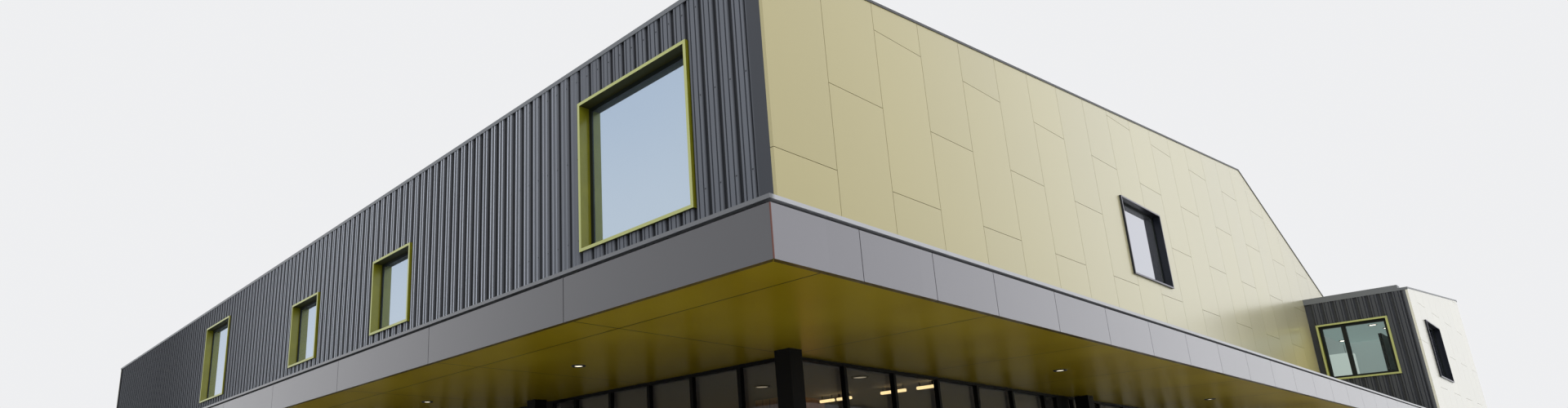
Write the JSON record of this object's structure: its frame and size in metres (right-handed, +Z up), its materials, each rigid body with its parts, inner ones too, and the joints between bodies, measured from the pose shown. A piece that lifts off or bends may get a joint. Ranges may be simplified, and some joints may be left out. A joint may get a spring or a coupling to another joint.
{
  "type": "school building",
  "caption": "Two-storey school building with a folded roof, ribbed dark and gold panel cladding, box windows, a glazed ground floor and a canopy round its street corner.",
  "frame": {"origin": "centre of the plan box at ground level", "axes": "+X along the street front towards the canopy corner, +Y from the street front to the back, +Z up"},
  "size_m": [38.376, 37.85, 10.3655],
  "materials": {
    "concrete": "matt",
    "inner_lining": "matt",
    "roof_membrane": "matt",
    "charcoal_cladding": "satin",
    "gold_panel": "satin metallic",
    "grey_coping": "satin",
    "light_flashing": "satin",
    "fascia_panel": "satin metallic",
    "soffit_panel": "gloss",
    "downlight": "matt",
    "column_steel": "satin",
    "black_frame": "satin",
    "tinted_glass": "clear, tinted grey",
    "lime_frame": "satin",
    "slate_frame": "satin",
    "inner_frame": "satin",
    "window_glass": "clear, reflective"
  },
  "bodies": {
    "root": {"ground_floor_slab": "concrete", "upper_floor_slab": "concrete", "ground_floor_ceiling": "inner_lining", "wing_ceiling": "inner_lining", "front_wall": "inner_lining", "side_wall": "inner_lining", "west_wall": "inner_lining", "back_wall": "inner_lining", "wing_front_wall": "inner_lining", "wing_side_wall": "inner_lining", "roof_front_slope": "roof_membrane", "roof_steep_slope": "roof_membrane", "roof_rear_bar": "roof_membrane", "front_ribbed_cladding": "charcoal_cladding", "wing_ribbed_cladding": "charcoal_cladding", "back_ribbed_cladding": "charcoal_cladding", "corner_trims": "charcoal_cladding", "side_gold_panels": "gold_panel", "west_gold_panels": "gold_panel", "wing_gold_panels": "gold_panel", "front_coping": "grey_coping", "back_coping": "grey_coping", "side_coping": "light_flashing", "west_coping": "light_flashing", "wing_coping": "light_flashing", "canopy_soffit": "soffit_panel", "canopy_deck": "roof_membrane", "canopy_edge_beam": "column_steel", "canopy_fascia": "fascia_panel", "rear_band": "fascia_panel", "canopy_flashing": "light_flashing", "canopy_downlights": "downlight", "canopy_columns": "column_steel", "front_glazing_frame": "black_frame", "side_glazing_frame": "black_frame", "back_glazing_frame": "black_frame", "west_glazing_frame": "black_frame", "ground_floor_glass": "tinted_glass", "front_window_boxes": "lime_frame", "back_window_boxes": "lime_frame", "wing_window_box": "lime_frame", "side_window_boxes": "slate_frame", "window_inner_frames": "inner_frame", "window_panes": "window_glass"}
  },
  "joints": []
}
